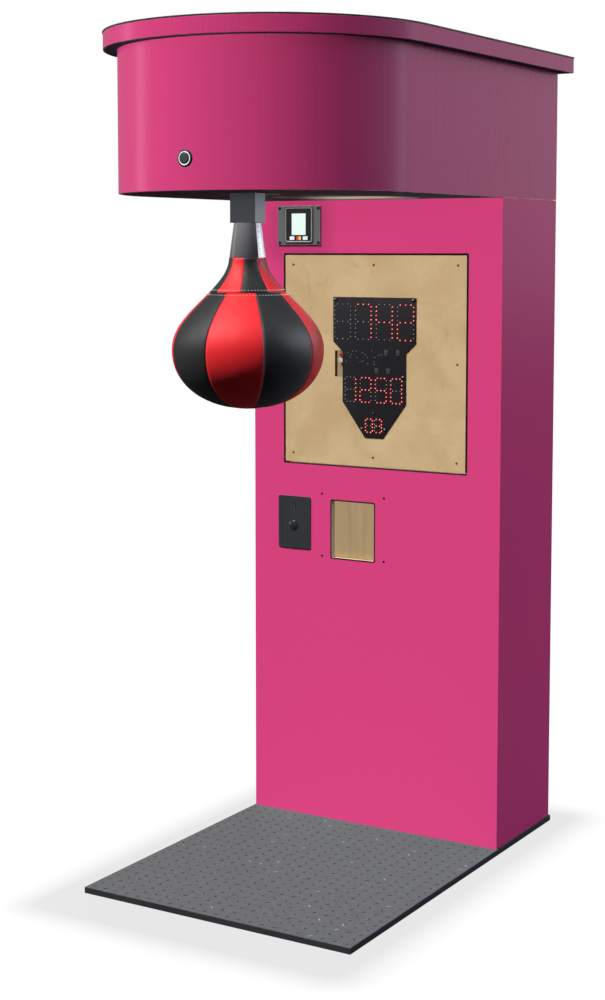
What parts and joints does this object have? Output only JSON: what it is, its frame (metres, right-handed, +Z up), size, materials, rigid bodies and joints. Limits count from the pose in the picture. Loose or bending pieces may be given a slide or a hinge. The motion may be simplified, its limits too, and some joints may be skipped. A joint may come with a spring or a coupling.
{
  "type": "strength tester machine",
  "caption": "Arcade strength tester: a leather punching ball on a swing arm under a D-shaped canopy, with a column, lamp display, coin entry and platform.",
  "frame": {"origin": "on the floor, under the centre of the whole machine's outline", "axes": "+Z up, -Y towards the player, +X to the player's right"},
  "size_m": [0.766, 1.188, 1.959],
  "materials": {
    "pink_panel": "satin",
    "raw_board": "matte",
    "dark_board": "matte",
    "base_wood": "matte",
    "tread": "satin",
    "edge_strip": "matte",
    "top_sheet": "satin",
    "circuit": "satin",
    "lamp_lit": "gloss",
    "lamp_dark": "gloss",
    "chip_parts": "matte",
    "reader_grey": "satin",
    "reader_case": "satin",
    "black_glass": "gloss",
    "screen": "matte",
    "tiles": "gloss",
    "dark_plate": "satin",
    "black_plastic": "satin",
    "grey_plastic": "satin",
    "light_ring": "gloss",
    "cap_grey": "satin",
    "sheet_steel": "satin",
    "bright_steel": "satin",
    "frame_paint": "satin",
    "bearing_paint": "satin",
    "arm_paint": "satin",
    "cone_metal": "gloss",
    "rubber_black": "matte",
    "coil_black": "satin",
    "padding": "matte",
    "red_leather": "satin",
    "black_leather": "satin",
    "board_green": "satin",
    "screw_black": "satin"
  },
  "bodies": {
    "cabinet": {"base_board": "base_wood", "tread_plate": "tread", "base_trim": "edge_strip", "front_panel": "pink_panel", "side_panels": "pink_panel", "rear_panel": "pink_panel", "battens": "raw_board", "cash_shelf": "raw_board", "hood_skin": "pink_panel", "hood_deck": "dark_board", "lid_board": "dark_board", "lid_rim": "pink_panel", "lid_sheet": "top_sheet", "display_board": "raw_board", "panel_screws": "screw_black", "display_pcb": "circuit", "leds_lit": "lamp_lit", "leds_dark": "lamp_dark", "pcb_parts": "chip_parts", "reader_plate": "reader_grey", "reader_body": "reader_case", "reader_glass": "black_glass", "reader_screen": "screen", "reader_tiles": "tiles", "coin_plate": "dark_plate", "coin_validator": "grey_plastic", "coin_chute": "sheet_steel", "cash_box": "sheet_steel", "bill_blank": "raw_board", "start_housing": "black_plastic", "start_ring": "light_ring", "frame_rails": "frame_paint", "bearing_blocks": "bearing_paint", "fixings": "sheet_steel", "stop_bumper": "rubber_black", "latch_bracket": "frame_paint", "solenoid_body": "coil_black", "encoder_sensor": "black_plastic", "door_hinges": "sheet_steel", "control_board": "board_green", "power_supply": "sheet_steel", "power_inlet": "black_plastic"},
    "swing": {"arm_shaft": "bright_steel", "swing_arm": "arm_paint", "ball_rod": "sheet_steel", "arm_sleeve": "cone_metal", "encoder_disc": "black_plastic", "ball_core": "padding", "gores_red": "red_leather", "gores_black": "black_leather", "ball_welt": "black_leather"},
    "hook": {"latch_hook": "bright_steel"},
    "plunger": {"solenoid_plunger": "bright_steel"},
    "start_push": {"start_cap": "cap_grey"},
    "return_push": {"return_button": "black_plastic"},
    "door": {"rear_door": "pink_panel", "door_leaves": "sheet_steel", "door_lock": "bright_steel"},
    "lock": {"lock_cam": "bright_steel"}
  },
  "joints": [
    {"name": "arm_swing", "type": "hinge", "parent": "cabinet", "child": "swing", "pos_m": [0, -0.323, 1.6765], "axis": [1, 0, 0], "range_deg": [-15, 88]},
    {"name": "latch_turn", "type": "hinge", "parent": "cabinet", "child": "hook", "pos_m": [0, -0.20042, 1.76816], "axis": [-1, 0, 0], "range_deg": [0, 35], "stiffness_Nm_per_rad": 0.5, "springref_deg": -17.19},
    {"name": "plunger_slide", "type": "slide", "parent": "cabinet", "child": "plunger", "axis": [0, 1, 0], "range_m": [0, 0.0187]},
    {"name": "start_press", "type": "slide", "parent": "cabinet", "child": "start_push", "axis": [0, 1, 0], "range_m": [0, 0.003], "stiffness_N_per_m": 600, "springref_m": -0.002},
    {"name": "return_press", "type": "slide", "parent": "cabinet", "child": "return_push", "axis": [0, 1, 0], "range_m": [0, 0.003], "stiffness_N_per_m": 500, "springref_m": -0.002},
    {"name": "door_swing", "type": "hinge", "parent": "cabinet", "child": "door", "pos_m": [0.261, 0.571, 0.814], "axis": [0, 0, -1], "range_deg": [0, 110]},
    {"name": "lock_turn", "type": "hinge", "parent": "door", "child": "lock", "pos_m": [-0.234, 0.566, 0.814], "axis": [0, 1, 0], "range_deg": [0, 90]}
  ],
  "couplings": [
    {"joint": "plunger_slide", "follows": "latch_turn", "m_per_rad": 0.03046}
  ]
}
